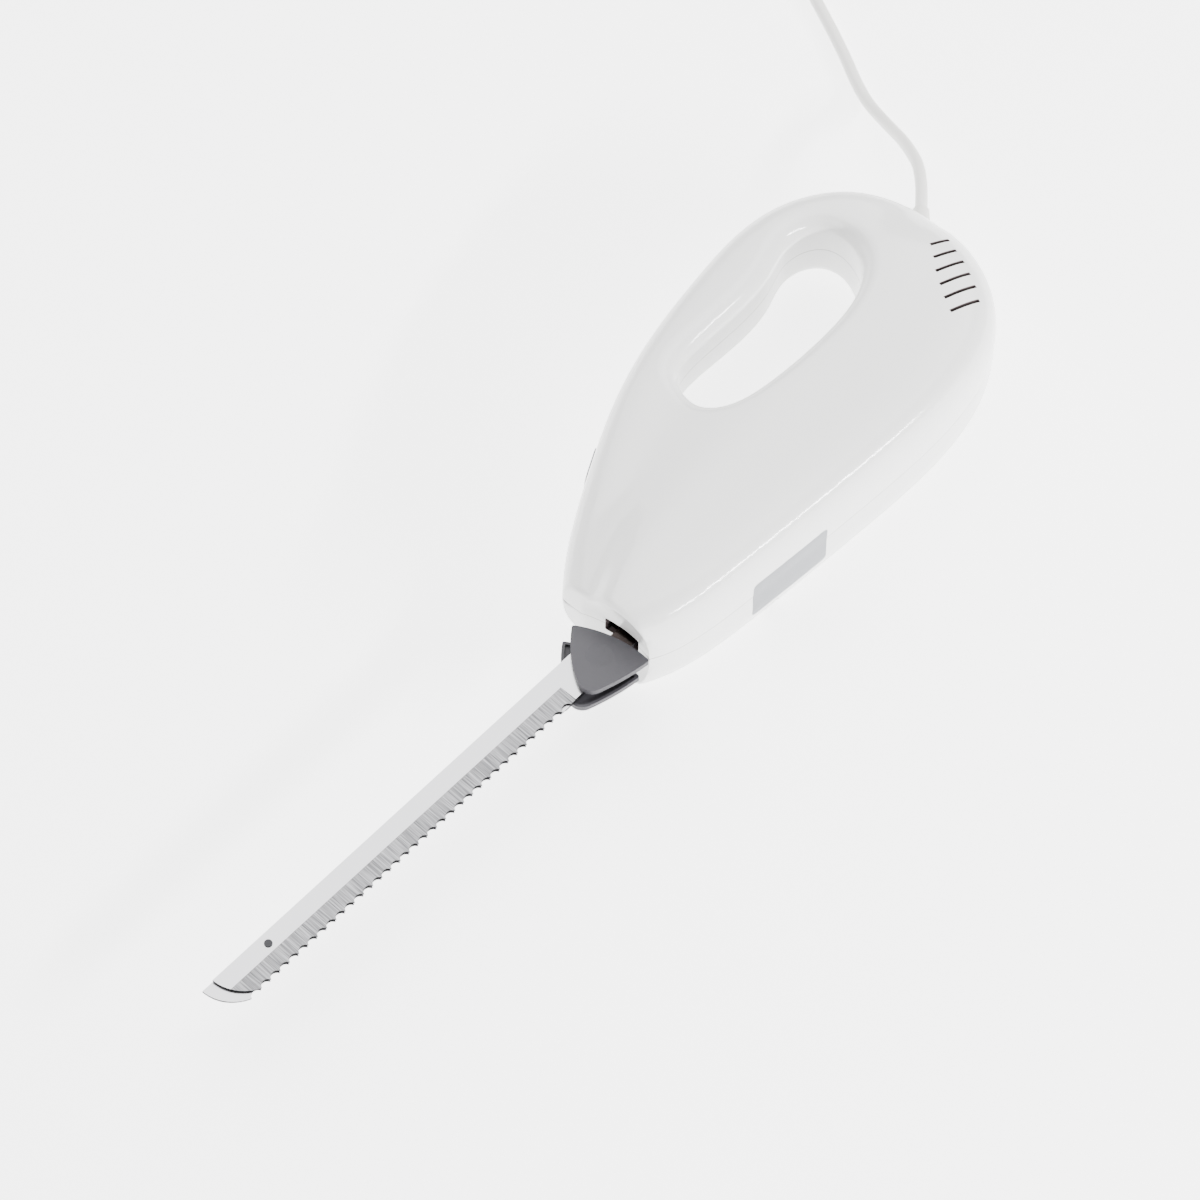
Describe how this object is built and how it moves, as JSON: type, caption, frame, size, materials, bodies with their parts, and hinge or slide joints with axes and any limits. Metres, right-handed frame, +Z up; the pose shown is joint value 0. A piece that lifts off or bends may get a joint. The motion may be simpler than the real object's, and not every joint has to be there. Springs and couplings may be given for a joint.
{
  "type": "electric carving knife",
  "caption": "Electric carving knife with two reciprocating serrated blades, shield guards and an off-white moulded housing with a looped handle.",
  "frame": {"origin": "middle of the lowest plane of the knife as it lies on its right side, without its free cord", "axes": "+X from the blade tips to the rear of the housing, +Y from the cutting edge towards the handle, +Z up from the right side to the left side"},
  "size_m": [0.5998, 0.3233, 0.0549],
  "materials": {
    "housing_plastic": "satin moulded, off-white",
    "button_plastic": "fine matt grey",
    "guard_plastic": "satin moulded, mid grey",
    "blade_steel": "finely ground along the width",
    "gear_plastic": "natural moulded",
    "plain_steel": "plain turned",
    "core_steel": "stacked sheets, dark",
    "winding_copper": "enamelled copper wire",
    "brass_parts": "turned",
    "carbon": "pressed carbon",
    "wire_jacket": "soft insulation",
    "cord_jacket": "soft, off-white"
  },
  "bodies": {
    "knife_body": {"brush_holders": "gear_plastic", "carbon_brushes": "carbon", "carrier_guide": "gear_plastic", "clamp_screws": "plain_steel", "cord_clamp": "gear_plastic", "cord_coil": "cord_jacket", "cord_lead": "cord_jacket", "cord_sleeve": "cord_jacket", "cord_tail": "cord_jacket", "cord_tie": "cord_jacket", "field_windings": "winding_copper", "front_bracket": "plain_steel", "front_bush": "brass_parts", "housing_screws": "plain_steel", "left_housing": "housing_plastic", "mains_plug": "cord_jacket", "motor_bolts": "plain_steel", "motor_core": "core_steel", "motor_leads": "wire_jacket", "plug_pins": "brass_parts", "power_switch": "gear_plastic", "rear_bracket": "plain_steel", "rear_bush": "brass_parts", "right_housing": "housing_plastic", "shaft_bush": "brass_parts", "supply_leads": "wire_jacket", "wheel_axle": "plain_steel"},
    "rotor": {"rotor_core": "core_steel", "rotor_winding": "winding_copper", "commutator": "brass_parts", "motor_shaft": "plain_steel", "worm": "plain_steel", "fan": "gear_plastic"},
    "wheel": {"worm_wheel": "gear_plastic"},
    "left_slide": {"left_carrier": "gear_plastic", "left_blade": "blade_steel", "left_guard": "guard_plastic", "tip_rivet": "blade_steel"},
    "right_slide": {"right_carrier": "gear_plastic", "right_blade": "blade_steel", "right_guard": "guard_plastic"},
    "power_button_body": {"power_button": "button_plastic"},
    "release_button_body": {"release_button": "button_plastic"}
  },
  "joints": [
    {"name": "wheel_spin", "type": "hinge", "parent": "knife_body", "child": "wheel", "pos_m": [0.06311, -0.01327, 0.02745], "axis": [0, 0, -1], "range_deg": [-149.64, 30.39]},
    {"name": "rotor_spin", "type": "hinge", "parent": "knife_body", "child": "rotor", "pos_m": [0.12011, -0.03107, 0.02745], "axis": [1, 0, 0], "range_deg": [-4189.9, 850.9]},
    {"name": "left_blade_stroke", "type": "slide", "parent": "knife_body", "child": "left_slide", "axis": [1, 0, 0], "range_m": [-0.00665, 0.00135]},
    {"name": "right_blade_stroke", "type": "slide", "parent": "knife_body", "child": "right_slide", "axis": [1, 0, 0], "range_m": [-0.00135, 0.00665]},
    {"name": "power_press", "type": "slide", "parent": "knife_body", "child": "power_button_body", "axis": [0.4695, -0.8829, 0], "range_m": [0, 0.0025], "stiffness_N_per_m": 500, "springref_m": -0.002},
    {"name": "release_press", "type": "slide", "parent": "knife_body", "child": "release_button_body", "axis": [0, -1, 0], "range_m": [0, 0.0025], "stiffness_N_per_m": 500, "springref_m": -0.002}
  ],
  "couplings": [
    {"joint": "right_blade_stroke", "follows": "left_blade_stroke", "ratio": -1},
    {"joint": "wheel_spin", "follows": "left_blade_stroke", "rad_per_m": 392.7},
    {"joint": "rotor_spin", "follows": "left_blade_stroke", "rad_per_m": 10996}
  ]
}
